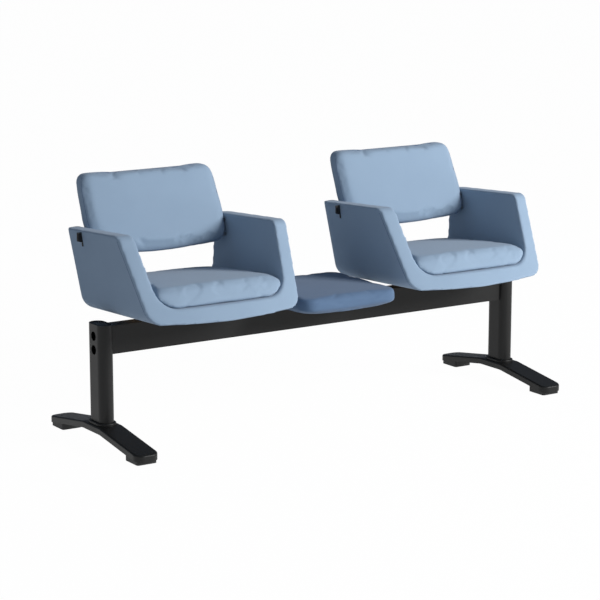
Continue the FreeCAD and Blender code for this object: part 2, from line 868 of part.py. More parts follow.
def make_cushion_shape():
    low = seat_top() + size("fit_gap")
    half = size("cushion_half_width")
    high = low + size("cushion_height")
    corner = size("inner_corner") - size("cushion_corner_gap")
    profile = [(-half, high + corner, 0), (-half, low, corner),
               (half, low, corner), (half, high + corner, 0)]
    far = 2 * size("front_reach")
    cushion = along_seat(profile, -far, far)
    cushion = cushion.cut(front_waste(size("fit_gap")))
    cushion = cushion.cut(back_waste(size("cushion_inset")))
    return crown(cushion, high, 0, size("cushion_crown_radius"), size("cushion_edge"),
                 size("seat_tilt") + size("cushion_fall"))


def make_tab_shape():
    y = size("tab_back")
    top = arm_top(y) - size("tab_drop")
    low = top - size("tab_height")
    reach = size("tab_reach")
    gap = size("fit_gap")
    corner = size("tab_corner")
    top_x = outer_x(on_seat(y, top))
    low_x = outer_x(on_seat(y, low))
    outline = [(-low_x - gap, low, 0), (-top_x - gap, top, 0),
               (-top_x - reach, top, corner), (-low_x - reach, low, corner)]
    return prism(outline, in_xz(y), Vector(0, size("tab_thickness"), 0))


def tilt_seat(item, y, z):
    """Turn a piece with the seat, about a line across the chair at y and z."""
    item.Placement.Rotation = FreeCAD.Rotation(Vector(1, 0, 0), -size("seat_tilt"))
    turn = "(seat_tilt)"
    item.setExpression("Placement.Base.y", formula(
        "(%s) - (%s) * cos%s - (%s) * sin%s" % (y, y, turn, z, turn)))
    item.setExpression("Placement.Base.z", formula(
        "(%s) + (%s) * sin%s - (%s) * cos%s" % (z, y, turn, z, turn)))
    return item


def make_chair(side):
    name = side.capitalize()
    centre = SIDES[side] + "chair_spacing / 2"
    board_low = size("shell_bottom")
    board_top = board_low + size("board_thickness")
    wide = size("seat_board_width")
    deep = size("seat_board_depth")
    shell = make_shell_shape()
    recess = board_pocket(wide, deep, 0, board_low - size("seat_thickness"), board_top)
    recess.rotate(Vector(0, 0, board_low), Vector(1, 0, 0), -size("seat_tilt"))
    shell = shell.cut(recess)
    back_pad = make_back_pad_shape()
    for hole in stud_solids(size("fit_gap")):
        shell = shell.cut(hole)
        back_pad = back_pad.cut(hole)
    keep(feature(name + "SeatShell", shell, centre), side + "_seat_shell")
    keep(feature(name + "BackPad", back_pad, centre), side + "_back_pad")
    keep(feature(name + "SeatCushion", make_cushion_shape(), centre), side + "_seat_cushion")
    studs = feature(name + "BackStuds", Part.makeCompound(stud_solids(0)), centre)
    keep(studs, side + "_back_studs")
    keep(feature(name + "LabelTab", make_tab_shape(), centre), side + "_label_tab")

    hole_wide = "(seat_plate_width - 2 * seat_hole_inset)"
    hole_deep = "(seat_plate_depth - 2 * seat_hole_inset)"
    hole_radius = "screw_radius + bolt_clearance"
    level = "shell_bottom - plate_thickness"
    board = plate_with_holes(name + "SeatBoard", "seat_board_width", "seat_board_depth",
                             "board_thickness", hole_wide, hole_deep, hole_radius)
    plate = plate_with_holes(name + "MountPlate", "seat_plate_width", "seat_plate_depth",
                             "plate_thickness", hole_wide, hole_deep, hole_radius)
    for flat, drop in ((board, "0"), (plate, "plate_thickness")):
        flat.Placement.Rotation = FreeCAD.Rotation(Vector(1, 0, 0), -size("seat_tilt"))
        place(flat, centre, "-%s * sin(seat_tilt)" % drop,
              "shell_bottom - %s * cos(seat_tilt)" % drop)
    keep(board, side + "_seat_board")
    keep(plate, side + "_mount_plate")
    bolts = group(name + "MountBolts",
                  plate_screws(name + "Mount", centre, hole_wide, hole_deep, level))
    keep(tilt_seat(bolts, "0", "shell_bottom"), side + "_mount_bolts")
    make_saddle(side, centre)


def plate_screws(name, centre, wide, deep, z):
    """Four screws up through a plate into the board above it."""
    screws = []
    for x_way in ("-", "+"):
        for y_way in ("-", ""):
            tag = name + str(len(screws))
            screws.append(cap_screw(tag, "screw_radius", "screw_head_radius",
                                    "screw_head_height",
                                    "plate_thickness + board_thickness - board_cover",
                                    "up", "%s %s %s / 2" % (centre, x_way, wide),
                                    "%s%s / 2" % (y_way, deep), z))
    return screws


def make_saddle(who, centre):
    """A steel saddle over the beam, cut to the seat's tilt, with two screws behind."""
    name = who.capitalize()
    depth = "(beam_depth + 2 * saddle_wall)"
    block = box(name + "SaddleBlock", "saddle_length", depth,
                "shell_bottom - beam_top + saddle_skirt", "%s - saddle_length / 2" % centre,
                "-%s / 2" % depth, "beam_top - saddle_skirt")
    hollow = box(name + "SaddleHollow", "2 * saddle_length", "beam_depth + 2 * fit_gap",
                 "saddle_skirt", "%s - saddle_length" % centre,
                 "-beam_depth / 2 - fit_gap", "beam_top - saddle_skirt")
    trim = box(name + "SaddleTrim", "2 * saddle_length", "2 * " + depth, depth,
               "%s - saddle_length" % centre, "-" + depth,
               "shell_bottom - plate_thickness / cos(seat_tilt) + tan(seat_tilt) * " + depth)
    trim.Placement.Rotation = FreeCAD.Rotation(Vector(1, 0, 0), -size("seat_tilt"))
    drills = [hollow, trim]
    screws = []
    for number, way in enumerate(("-", "+")):
        tag = "%s%d" % (name, number)
        x = "%s %s screw_pitch / 2" % (centre, way)
        z = "beam_top - saddle_skirt / 2"
        drills.append(rod("SaddleDrill" + tag, "screw_radius + bolt_clearance",
                          "2 * saddle_wall", "back", x, "beam_depth / 2 - saddle_wall", z))
        screws.append(cap_screw("SaddleScrew" + tag, "screw_radius", "screw_head_radius",
                                "screw_head_height", "saddle_wall + beam_wall + screw_tail",
                                "front", x, "beam_depth / 2 + saddle_wall", z))
    keep(cut(name + "Saddle", block, drills), who + "_saddle")
    keep(group(name + "SaddleScrews", screws), who + "_saddle_screws")


# The table pad between the chairs.

def make_table():
    half = size("table_width") / 2
    front = -size("table_front")
    back = size("table_back")
    low = size("table_bottom")
    thick = size("table_thickness")
    corner = size("table_corner")
    plan = [(-half, front, corner), (half, front, corner), (half, back, corner),
            (-half, back, corner)]
    shape = prism(plan, in_xy(low), Vector(0, 0, 2 * thick))
    middle = (front + back) / 2
    shape = crown(shape, low + thick, middle, size("table_crown_radius"), size("table_edge"))
    shape = soften(shape, size("table_lower_edge"),
                   lambda edge: max(v.Z for v in edge.Vertexes) < low + 0.01)
    board_low = size("beam_top") + size("plate_thickness")
    board_top = board_low + size("board_thickness")
    shape = shape.cut(board_pocket(size("table_board_width"), size("table_board_depth"), middle,
                                   size("beam_top") - thick, board_top))
    keep(feature("TablePad", shape), "table_pad")

    screw_hole = "screw_radius + bolt_clearance"
    hole_wide = "(table_plate_width - 2 * table_hole_inset_x)"
    hole_deep = "(table_plate_depth - 2 * table_hole_inset_y)"
    board = box("TableBoardBlank", "table_board_width", "table_board_depth", "board_thickness",
                "-table_board_width / 2",
                "(table_back - table_front) / 2 - table_board_depth / 2",
                "beam_top + plate_thickness")
    drills = []
    for x_way in ("-", ""):
        for y_way in ("-", ""):
            drills.append(rod("TableBoardDrill%d" % len(drills), screw_hole, "board_thickness",
                              "up", x_way + hole_wide + " / 2", y_way + hole_deep + " / 2",
                              "beam_top + plate_thickness"))
    keep(cut("TableBoard", board, drills), "table_board")
    plate = plate_with_holes("TablePlate", "table_plate_width", "table_plate_depth",
                             "plate_thickness", hole_wide, hole_deep, screw_hole)
    place(plate, "0", "0", "beam_top")
    keep(plate, "table_plate")
    keep(group("TableBolts", plate_screws("Table", "0", hole_wide, hole_deep, "beam_top")),
         "table_bolts")

    # Two angle lugs under the plate hug the beam, with a screw each from behind.
    lugs = []
    screws = []
    for number, way in enumerate(("-", "")):
        x = way + "screw_pitch / 2"
        lug = box("TableLugBlank%d" % number, "lug_width", "saddle_wall", "saddle_skirt",
                  x + " - lug_width / 2", "beam_depth / 2", "beam_top - saddle_skirt")
        drill = rod("TableLugDrill%d" % number, screw_hole, "2 * saddle_wall", "back", x,
                    "beam_depth / 2 - saddle_wall / 2", "beam_top - saddle_skirt / 2")
        lugs.append(cut("TableLug%d" % number, lug, [drill]))
        screws.append(cap_screw("TableScrew%d" % number, "screw_radius", "screw_head_radius",
                                "screw_head_height", "saddle_wall + beam_wall + screw_tail",
                                "front", x, "beam_depth / 2 + saddle_wall",
                                "beam_top - saddle_skirt / 2"))
    keep(group("TableLugs", lugs), "table_lugs")
    keep(group("TableLugScrews", screws), "table_lug_screws")


make_beam()
for side in SIDES:
    make_leg(side)
    make_foot(side)
    for end in ("front", "back"):
        make_glide(side, end)
    make_chair(side)
make_table()
doc.recompute()

for item in doc.Objects:
    if "Invalid" in item.State or "Error" in item.State:
        raise RuntimeError("failed: " + item.Name)
os.makedirs("parts", exist_ok=True)
for item in parts:
    if item.Shape.isNull() or not item.Shape.isValid():
        raise RuntimeError("bad shape: " + item.Label)
    item.Shape.exportStep("parts/%s.step" % item.Label)
    solids = len(item.Shape.Solids)
    print("%-24s solids %d  volume %.1f cm3" % (item.Label, solids, item.Shape.Volume / 1000))
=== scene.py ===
import math

import bmesh
import bpy
import numpy as np
from mathutils import Matrix, Vector
from mathutils.bvhtree import BVHTree


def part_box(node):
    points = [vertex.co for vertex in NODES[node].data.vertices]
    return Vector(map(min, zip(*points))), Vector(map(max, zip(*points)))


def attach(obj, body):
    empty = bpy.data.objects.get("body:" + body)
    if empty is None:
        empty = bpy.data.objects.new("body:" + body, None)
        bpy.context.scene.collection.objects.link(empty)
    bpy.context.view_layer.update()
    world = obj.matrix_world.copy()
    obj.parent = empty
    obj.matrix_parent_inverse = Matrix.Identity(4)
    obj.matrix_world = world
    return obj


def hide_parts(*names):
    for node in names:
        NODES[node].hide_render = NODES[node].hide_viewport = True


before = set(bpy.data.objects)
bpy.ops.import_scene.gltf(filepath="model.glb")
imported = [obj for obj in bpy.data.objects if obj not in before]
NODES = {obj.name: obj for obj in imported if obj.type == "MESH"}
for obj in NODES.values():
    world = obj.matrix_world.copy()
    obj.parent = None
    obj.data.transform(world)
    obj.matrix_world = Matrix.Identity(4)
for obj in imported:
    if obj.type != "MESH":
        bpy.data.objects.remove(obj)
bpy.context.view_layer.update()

SCENE = bpy.context.scene
MM = 0.001

# Where the two chairs stand along the beam.
LEFT_X = sum(v.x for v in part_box("left_seat_board")) / 2
RIGHT_X = sum(v.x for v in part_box("right_seat_board")) / 2
CHAIRS = {"left": 0.0, "right": RIGHT_X - LEFT_X}

# The seat falls towards the back, and heights on it are true at the chair's middle.
SEAT_FALL = math.tan(math.radians(2.6))
SHELL_BOTTOM = 370 * MM
SEAT_THICKNESS = 48 * MM
SEAT_TOP = SHELL_BOTTOM + SEAT_THICKNESS

# The arms lean outwards, and the shell's half width is true at one height.
ARM_LEAN = 0.132
SHELL_HALF = 254 * MM
SHELL_HALF_AT = SHELL_BOTTOM + 32.5 * MM
OUTER_CORNER = 45 * MM

# The chair's front face leans back and bows forward in plan.
FRONT_REACH = 275 * MM
FRONT_LEAN = 0.51
FRONT_BOW_RADIUS = 1250 * MM

# The back pad: its rear face, its thickness, and half its outline as half width and height.
PAD_LEAN = 0.49
PAD_THICKNESS = 66 * MM
PAD_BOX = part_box("left_back_pad")
PAD_TOP = PAD_BOX[1].z
PAD_REAR = PAD_BOX[1].y
PAD_SIDE = [(0.0, PAD_BOX[0].z), (180 * MM, PAD_BOX[0].z + 14 * MM), (222 * MM, 560 * MM),
            (234 * MM, 622 * MM), (229 * MM, 700 * MM), (216 * MM, PAD_TOP - 6 * MM),
            (0.0, PAD_TOP)]

# A sewn line: the thread's radius, and how deep it lies in the cloth.
SEAM_RADIUS = 0.9 * MM
SEAM_SINK = 0.3 * MM

# A band pattern at scale 1 repeats about every 0.314 units.
BAND_REPEAT = 0.314

# The colour sockets of a mix node.
MIX_LOW, MIX_HIGH, MIX_RESULT = 6, 7, 2


# Colours and materials.

def linear(hex_code):
    """An sRGB hex colour as linear red, green, blue and alpha."""
    values = []
    for start in (1, 3, 5):
        value = int(hex_code[start:start + 2], 16) / 255
        values.append(value / 12.92 if value <= 0.04045 else ((value + 0.055) / 1.055) ** 2.4)
    return (*values, 1.0)


def add(tree, kind, inputs=None, **settings):
    """Add a node with its settings, and its inputs as numbers or links."""
    node = tree.nodes.new(kind)
    for key, value in settings.items():
        setattr(node, key, value)
    for key, value in (inputs or {}).items():
        if isinstance(value, bpy.types.NodeSocket):
            tree.links.new(value, node.inputs[key])
        else:
            node.inputs[key].default_value = value
    return node


def new_material(name):
    """An empty material, its nodes, and the object coordinates that they read."""
    material = bpy.data.materials.new(name)
    material.use_nodes = True
    tree = material.node_tree
    tree.nodes.clear()
    place = add(tree, "ShaderNodeTexCoord").outputs["Object"]
    return material, tree, place


def finish_material(tree, shader):
    add(tree, "ShaderNodeOutputMaterial", {"Surface": shader.outputs[0]})


def ramp(tree, factor, low, high):
    """Mix two colours by a pattern's value."""
    mix = add(tree, "ShaderNodeMix", {"Factor": factor}, data_type="RGBA")
    mix.inputs[MIX_LOW].default_value = linear(low)
    mix.inputs[MIX_HIGH].default_value = linear(high)
    return mix.outputs[MIX_RESULT]


def wool_upholstery(name, dark, light):
    """Tight wool-blend upholstery: a fine plain weave, matt, with a faint nap."""
    material, tree, place = new_material(name)
    # Real thread spacing is about 1 mm; it is drawn at 2 mm so that it shows.
    thread = 2.0 * MM
    wave_scale = BAND_REPEAT / thread
    heights = []
    for direction in ("X", "Y", "Z"):
        wave = add(tree, "ShaderNodeTexWave", {"Vector": place, "Scale": wave_scale,
                                              "Distortion": 1.2, "Detail": 1.0,
                                              "Detail Scale": 0.4},
                   wave_type="BANDS", bands_direction=direction)
        heights.append(wave.outputs["Fac"])
    weave = add(tree, "ShaderNodeMath", {0: heights[0], 1: heights[1]}, operation="MULTIPLY")
    weave = add(tree, "ShaderNodeMath", {0: weave.outputs[0], 1: heights[2]}, operation="ADD")
    fibre = add(tree, "ShaderNodeTexNoise", {"Vector": place, "Scale": 1 / (1.5 * MM),
                                            "Detail": 3.0, "Roughness": 0.6})
    # Broad, faint differences where the cloth is stretched over the foam.
    nap = add(tree, "ShaderNodeTexNoise", {"Vector": place, "Scale": 1 / (120 * MM),
                                          "Detail": 2.0})
    broad = ramp(tree, nap.outputs["Fac"], dark, light)
    fine = ramp(tree, fibre.outputs["Fac"], dark, light)
    colour = add(tree, "ShaderNodeMix", {"Factor": 0.5}, data_type="RGBA")
    tree.links.new(broad, colour.inputs[MIX_LOW])
    tree.links.new(fine, colour.inputs[MIX_HIGH])
    bump = add(tree, "ShaderNodeBump", {"Height": weave.outputs[0], "Strength": 0.25,
                                       "Distance": 0.25 * MM})
    bump = add(tree, "ShaderNodeBump", {"Height": fibre.outputs["Fac"], "Strength": 0.2,
                                       "Distance": 0.3 * MM, "Normal": bump.outputs[0]})
    shader = add(tree, "ShaderNodeBsdfPrincipled", {
        "Base Color": colour.outputs[MIX_RESULT], "Roughness": 0.85, "Specular IOR Level": 0.25,
        "Sheen Weight": 0.15, "Sheen Roughness": 0.5, "Normal": bump.outputs[0]})
    finish_material(tree, shader)
    return material


def seam_thread_and_crease_shade():
    """Upholstery thread and seam edges: the cloth's blue made darker, partly as the thread's
    colour and partly as painted shade in the seam's crease.
    """
    material, tree, place = new_material("polyester_seam_thread_and_crease_shade")
    twist = add(tree, "ShaderNodeTexNoise", {"Vector": place, "Scale": 1 / (3 * MM)})
    # The darker blue is partly the thread's colour and partly painted shade of the crease.
    colour = ramp(tree, twist.outputs["Fac"], "#4C5C7C", "#62738F")
    shader = add(tree, "ShaderNodeBsdfPrincipled", {"Base Color": colour, "Roughness": 0.8})
    finish_material(tree, shader)
    return material


def powder_coat():
    """Satin black powder coat on steel: even, with a faint orange peel."""
    material, tree, place = new_material("powder_coated_steel_black")
    # The peel is about 1 mm across; it is drawn at 2.5 mm so that it shows.
    peel = add(tree, "ShaderNodeTexNoise", {"Vector": place, "Scale": 1 / (2.5 * MM),
                                           "Detail": 2.0})
    broad = add(tree, "ShaderNodeTexNoise", {"Vector": place, "Scale": 1 / (90 * MM),
                                            "Detail": 2.0})
    colour = ramp(tree, broad.outputs["Fac"], "#0F0F0F", "#161615")
    gloss = add(tree, "ShaderNodeMapRange", {"Value": broad.outputs["Fac"], "To Min": 0.42,
                                            "To Max": 0.5})
    bump = add(tree, "ShaderNodeBump", {"Height": peel.outputs["Fac"], "Strength": 0.12,
                                       "Distance": 0.2 * MM})
    shader = add(tree, "ShaderNodeBsdfPrincipled", {
        "Base Color": colour, "Roughness": gloss.outputs[0], "Specular IOR Level": 0.32,
        "Normal": bump.outputs[0]})
    finish_material(tree, shader)
    return material


def moulded_plastic(name, dark, light, rough):
    """Moulded polypropylene: a fine spark-eroded grain that dulls its highlights."""
    material, tree, place = new_material(name)
    grain = add(tree, "ShaderNodeTexNoise", {"Vector": place, "Scale": 1 / (1.2 * MM),
                                            "Detail": 3.0})
    colour = ramp(tree, grain.outputs["Fac"], dark, light)
    bump = add(tree, "ShaderNodeBump", {"Height": grain.outputs["Fac"], "Strength": 0.2,
                                       "Distance": 0.15 * MM})
    shader = add(tree, "ShaderNodeBsdfPrincipled", {
        "Base Color": colour, "Roughness": rough, "Normal": bump.outputs[0]})
    finish_material(tree, shader)
    return material


def zinc_steel():
    """Bright zinc plating on steel screws: a soft metal shine, slightly mottled."""
    material, tree, place = new_material("zinc_plated_steel")
    mottle = add(tree, "ShaderNodeTexNoise", {"Vector": place, "Scale": 1 / (4 * MM)})
    colour = ramp(tree, mottle.outputs["Fac"], "#8E9093", "#A9ABAD")
    shader = add(tree, "ShaderNodeBsdfPrincipled", {
        "Base Color": colour, "Metallic": 1.0, "Roughness": 0.35})
    finish_material(tree, shader)
    return material


def birch_plywood():
    """Birch plywood: pale, with long grain along X."""
    material, tree, place = new_material("birch_plywood_sealed")
    along = add(tree, "ShaderNodeMapping", {"Vector": place, "Scale": (1.0, 14.0, 14.0)})
    grain = add(tree, "ShaderNodeTexNoise", {"Vector": along.outputs[0], "Scale": 12.0,
                                            "Detail": 6.0, "Roughness": 0.65})
    colour = ramp(tree, grain.outputs["Fac"], "#A67F52", "#CBA878")
    shader = add(tree, "ShaderNodeBsdfPrincipled", {"Base Color": colour, "Roughness": 0.6})
    finish_material(tree, shader)
    return material


def woven_tape():
    """Plain black woven nylon tape with a fine rib across it."""
    material, tree, place = new_material("woven_nylon_tape_black")
    # The rib is 1 mm, near its real size.
    rib = add(tree, "ShaderNodeTexWave", {"Vector": place, "Scale": BAND_REPEAT / (1.0 * MM)},
              wave_type="BANDS", bands_direction="Z")
    colour = ramp(tree, rib.outputs["Fac"], "#0B0B0C", "#18181A")
    bump = add(tree, "ShaderNodeBump", {"Height": rib.outputs["Fac"], "Strength": 0.4,
                                       "Distance": 0.2 * MM})
    shader = add(tree, "ShaderNodeBsdfPrincipled", {
        "Base Color": colour, "Roughness": 0.6, "Sheen Weight": 0.1,
        "Normal": bump.outputs[0]})
    finish_material(tree, shader)
    return material


CLOTH = wool_upholstery("wool_upholstery_woven", "#879CB2", "#96ABBF")
# The table's cloth is the same weave painted a deeper blue: painted shade standing in for the
# chairs' shadow on the table.
TABLE_CLOTH_PAINTED_SHADE = wool_upholstery("wool_upholstery_painted_shade", "#516986", "#5F7794")
THREAD_AND_CREASE_SHADE = seam_thread_and_crease_shade()
BLACK_STEEL = powder_coat()
CAP_PLASTIC = moulded_plastic("polypropylene_cap_dark", "#121213", "#1C1C1D", 0.55)
GLIDE_PLASTIC = moulded_plastic("polypropylene_glide_black", "#151515", "#202020", 0.6)
ZINC = zinc_steel()
PLYWOOD = birch_plywood()
TAPE = woven_tape()


# Tools for the soft pieces.

def show(name, mesh, material):
    """Make an object of a finished mesh."""
    piece = bpy.data.objects.new(name, mesh)
    SCENE.collection.objects.link(piece)
    mesh.materials.clear()
    mesh.materials.append(material)
    for face in mesh.polygons:
        face.use_smooth = True
    return piece


def solid_copy(node, name):
    """A merged copy of a construction node's mesh, as a new piece."""
    shape = bmesh.new()
    shape.from_mesh(NODES[node].data)
    bmesh.ops.remove_doubles(shape, verts=shape.verts, dist=0.01 * MM)
    mesh = bpy.data.meshes.new(name)
    shape.to_mesh(mesh)
    shape.free()
    return show(name, mesh, CLOTH)


def settle(piece):
    """Turn a piece's modifiers into its mesh."""
    bpy.context.view_layer.update()
    graph = bpy.context.evaluated_depsgraph_get()
    mesh = bpy.data.meshes.new_from_object(piece.evaluated_get(graph))
    piece.modifiers.clear()
    piece.data = mesh
    mesh.materials.clear()
    mesh.materials.append(CLOTH)
    for face in mesh.polygons:
        face.use_smooth = True


def reskin(piece, voxel, passes):
    """Cover a piece with an even skin and soften its edges."""
    skin = piece.modifiers.new("Skin", "REMESH")
    skin.mode = "VOXEL"
    skin.voxel_size = voxel
    settle(piece)
    ease(piece, passes)


def ease(piece, passes, weights=None):
    """Smooth a piece, all over or by a weight for each of its points."""
    soft = piece.modifiers.new("Ease", "SMOOTH")
    soft.factor = 0.5
    soft.iterations = passes
    if weights is not None:
        group = piece.vertex_groups.new(name="ease")
        for index, weight in enumerate(weights):
            group.add([index], float(weight), "REPLACE")
        soft.vertex_group = "ease"
    settle(piece)
    piece.vertex_groups.clear()


def places(piece):
    """A piece's points, one row each."""
    spots = np.empty(len(piece.data.vertices) * 3)
    piece.data.vertices.foreach_get("co", spots)
    return spots.reshape(-1, 3)


def set_places(piece, spots):
    piece.data.vertices.foreach_set("co", spots.ravel())
    piece.data.update()


def refit(piece, node, axes="xyz"):
    """Bring a piece back to its node's reach, along the named axes."""
    low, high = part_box(node)
    spots = places(piece)
    for axis in ("xyz".index(name) for name in axes):
        now_low = spots[:, axis].min()
        share = (high[axis] - low[axis]) / (spots[:, axis].max() - now_low)
        spots[:, axis] = low[axis] + (spots[:, axis] - now_low) * share
    set_places(piece, spots)


def inflate(piece, pressure, most, frames=20):
    """Stuff a piece: blow its skin up as cloth, and cap how far it moves."""
    start = places(piece)
    cloth = piece.modifiers.new("Stuffing", "CLOTH")
    cloth.settings.quality = 5
    cloth.settings.use_pressure = True
    cloth.settings.uniform_pressure_force = pressure
    cloth.settings.effector_weights.gravity = 0
    cloth.collision_settings.use_collision = False
    for step in range(1, frames + 1):
        SCENE.frame_set(step)
    graph = bpy.context.evaluated_depsgraph_get()
    blown = piece.evaluated_get(graph).to_mesh()
    spots = np.empty(len(blown.vertices) * 3)
    blown.vertices.foreach_get("co", spots)
    spots = spots.reshape(-1, 3)
    piece.modifiers.clear()
    SCENE.frame_set(1)
    move = spots - start
    length = np.linalg.norm(move, axis=1, keepdims=True)
    move *= np.minimum(1.0, most / np.maximum(length, 1e-9))
    set_places(piece, start + move)


def subdivide(piece):
    """Make a piece's mesh finer and rounder by one level."""
    finer = piece.modifiers.new("Finer", "SUBSURF")
    finer.levels = 1
    finer.render_levels = 1
    settle(piece)


def second(piece, name, shift):
    """The same piece in the other chair."""
    mesh = piece.data.copy()
    mesh.transform(Matrix.Translation((shift, 0, 0)))
    return show(name, mesh, piece.data.materials[0])


def skin_of(piece):
    """A piece's surface, to lay lines on."""
    shape = bmesh.new()
    shape.from_mesh(piece.data)
    tree = BVHTree.FromBMesh(shape)
    shape.free()
    return tree


def seam(name, target, spots, closed=False):
    """A thin sewn line that lies on a soft piece's skin."""
    laid = []
    for spot in spots:
        place, normal, _, _ = target.find_nearest(Vector(spot))
        laid.append(place - normal * SEAM_SINK)
    line = bpy.data.curves.new(name, "CURVE")
    line.dimensions = "3D"
    spline = line.splines.new("NURBS")
    spline.points.add(len(laid) - 1)
    for point, place in zip(spline.points, laid):
        point.co = (*place, 1.0)
    spline.order_u = 3
    spline.use_cyclic_u = closed
    spline.use_endpoint_u = not closed
    spline.resolution_u = 2
    line.bevel_depth = SEAM_RADIUS
    line.bevel_resolution = 1
    line.use_fill_caps = not closed
    holder = bpy.data.objects.new(name + "_line", line)
    SCENE.collection.objects.link(holder)
    bpy.context.view_layer.update()
    graph = bpy.context.evaluated_depsgraph_get()
    mesh = bpy.data.meshes.new_from_object(holder.evaluated_get(graph))
    bpy.data.objects.remove(holder)
    # The line wears the thread colour, darkened with painted crease shade.
    return show(name, mesh, THREAD_AND_CREASE_SHADE)


def carry(piece, nodes=()):
    """Fix a piece to the bench, and hide the parts that it stands for."""
    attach(piece, "bench")
    if nodes:
        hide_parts(*nodes)


def both_chairs(piece, base, node=None):
    """Put a finished piece in the left chair and its twin in the right one."""
    pieces = {"left": piece}
    pieces["right"] = second(piece, "right_" + base, CHAIRS["right"])
    for side, twin in pieces.items():
        carry(twin, [side + "_" + node] if node else ())
    return pieces


# The chair's outlines, used to lay the seams.

def outer_x(z):
    """Half the shell's width at a height."""
    return SHELL_HALF + ARM_LEAN * (z - SHELL_HALF_AT)


def front_y(x, z):
    """Where the shell's front face lies."""
    return -FRONT_REACH + x * x / (2 * FRONT_BOW_RADIUS) + FRONT_LEAN * (z - SHELL_BOTTOM)


def pad_rear_y(z):
    """Where the back pad's rear face lies at a height."""
    return PAD_REAR - PAD_LEAN * (PAD_TOP - z)


def band_line(low, corner, top):
    """Half of a line round the chair's band, as x and z, from arm top to centre."""
    side_steps, corner_steps, base_steps = 14, 8, 8
    spots = []
    centre = (outer_x(low) - corner, low + corner)
    for step in range(side_steps):
        z = top + (low + corner - top) * step / side_steps
        spots.append((outer_x(z), z))
    for step in range(corner_steps + 1):
        angle = math.radians(90 * step / corner_steps)
        spots.append((centre[0] + corner * math.cos(angle), centre[1] - corner * math.sin(angle)))
    for step in range(1, base_steps + 1):
        spots.append((centre[0] * (1 - step / base_steps), low))
    return spots


def mirrored(half):
    """A whole line from half of it, left to right."""
    return [(-x, z) for x, z in half] + [(x, z) for x, z in reversed(half[:-1])]


# The upholstered pieces.

def make_shells():
    """The seat and arms in one padded band, with a seam just behind its front edge."""
    seam_low = SHELL_BOTTOM + 6 * MM
    seam_top = 612 * MM
    seam_behind = 12 * MM
    shell = solid_copy("left_seat_shell", "left_shell_cover")
    reskin(shell, voxel=4.5 * MM, passes=9)
    refit(shell, "left_seat_shell")
    skin = skin_of(shell)
    spots = []
    for x, height in mirrored(band_line(seam_low, OUTER_CORNER, seam_top)):
        y = front_y(x, height) + seam_behind
        spots.append((LEFT_X + x, y, height - y * SEAT_FALL))
    outer = seam("left_shell_seam", skin, spots)
    both_chairs(shell, "shell_cover", "seat_shell")
    both_chairs(outer, "shell_seam")


def make_cushions():
    """A domed cushion, flat only where it rests on the seat."""
    swell_height = 46 * MM
    swell_low, swell_added = 0.010, 0.026
    seat_gap = 0.3 * MM
    cushion = solid_copy("left_seat_cushion", "left_cushion_cover")
    reskin(cushion, voxel=5.5 * MM, passes=24)
    refit(cushion, "left_seat_cushion")
    inflate(cushion, pressure=4.0, most=9 * MM)
    refit(cushion, "left_seat_cushion", "x")
    # The stuffed sides swell towards the arms, most at the top.
    spots = places(cushion)
    height = spots[:, 2] + spots[:, 1] * SEAT_FALL - SEAT_TOP
    swell = swell_low + swell_added * np.clip(height / swell_height, 0, 1) ** 2
    spots[:, 0] = LEFT_X + (spots[:, 0] - LEFT_X) * (1 + swell)
    seat = SEAT_TOP + seat_gap - spots[:, 1] * SEAT_FALL
    spots[:, 2] = np.maximum(spots[:, 2], seat)
    set_places(cushion, spots)
    subdivide(cushion)
    both_chairs(cushion, "cushion_cover", "seat_cushion")


def make_back_pads():
    """A back pad with a domed front, and a seam round each end of its border."""
    crisp_depth = 12 * MM
    blend_depth = 16 * MM
    spread = 1.006
    seam_depths = {"rear": 9 * MM, "front": PAD_THICKNESS - 26 * MM}
    steps = 6
    back = solid_copy("left_back_pad", "left_back_cover")
    reskin(back, voxel=5.5 * MM, passes=2)
    # The front is rounded more, and the rear panel's border stays crisp.
    spots = places(back)
    depth = pad_rear_y(spots[:, 2]) - spots[:, 1]
    ease(back, 20, np.clip((depth - crisp_depth) / blend_depth, 0, 1))
    refit(back, "left_back_pad")
    inflate(back, pressure=4.0, most=8 * MM)
    refit(back, "left_back_pad", "xz")
    # It just meets the arms on both sides.
    spots = places(back)
    spots[:, 0] = LEFT_X + (spots[:, 0] - LEFT_X) * spread
    set_places(back, spots)
    subdivide(back)
    skin = skin_of(back)
    half = []
    for (x, z), (next_x, next_z) in zip(PAD_SIDE, PAD_SIDE[1:]):
        for step in range(steps):
            share = step / steps
            half.append((x + (next_x - x) * share, z + (next_z - z) * share))
    outline = half + [(-x, z) for x, z in reversed(half[1:])]
    for name, depth in seam_depths.items():
        spots = [(LEFT_X + x, pad_rear_y(z) - depth, z) for x, z in outline]
        line = seam("left_back_%s_seam" % name, skin, spots, closed=True)
        both_chairs(line, "back_%s_seam" % name)
    both_chairs(back, "back_cover", "back_pad")


def make_table():
    """The table's pad, firmer than the seats."""
    top = solid_copy("table_pad", "table_cover")
    reskin(top, voxel=5.0 * MM, passes=10)
    refit(top, "table_pad")
    inflate(top, pressure=3.0, most=5 * MM)
    refit(top, "table_pad", "xy")
    subdivide(top)
    # The table wears the darker cloth, whose colour is painted shade.
    top.data.materials[0] = TABLE_CLOTH_PAINTED_SHADE
    carry(top, ["table_pad"])


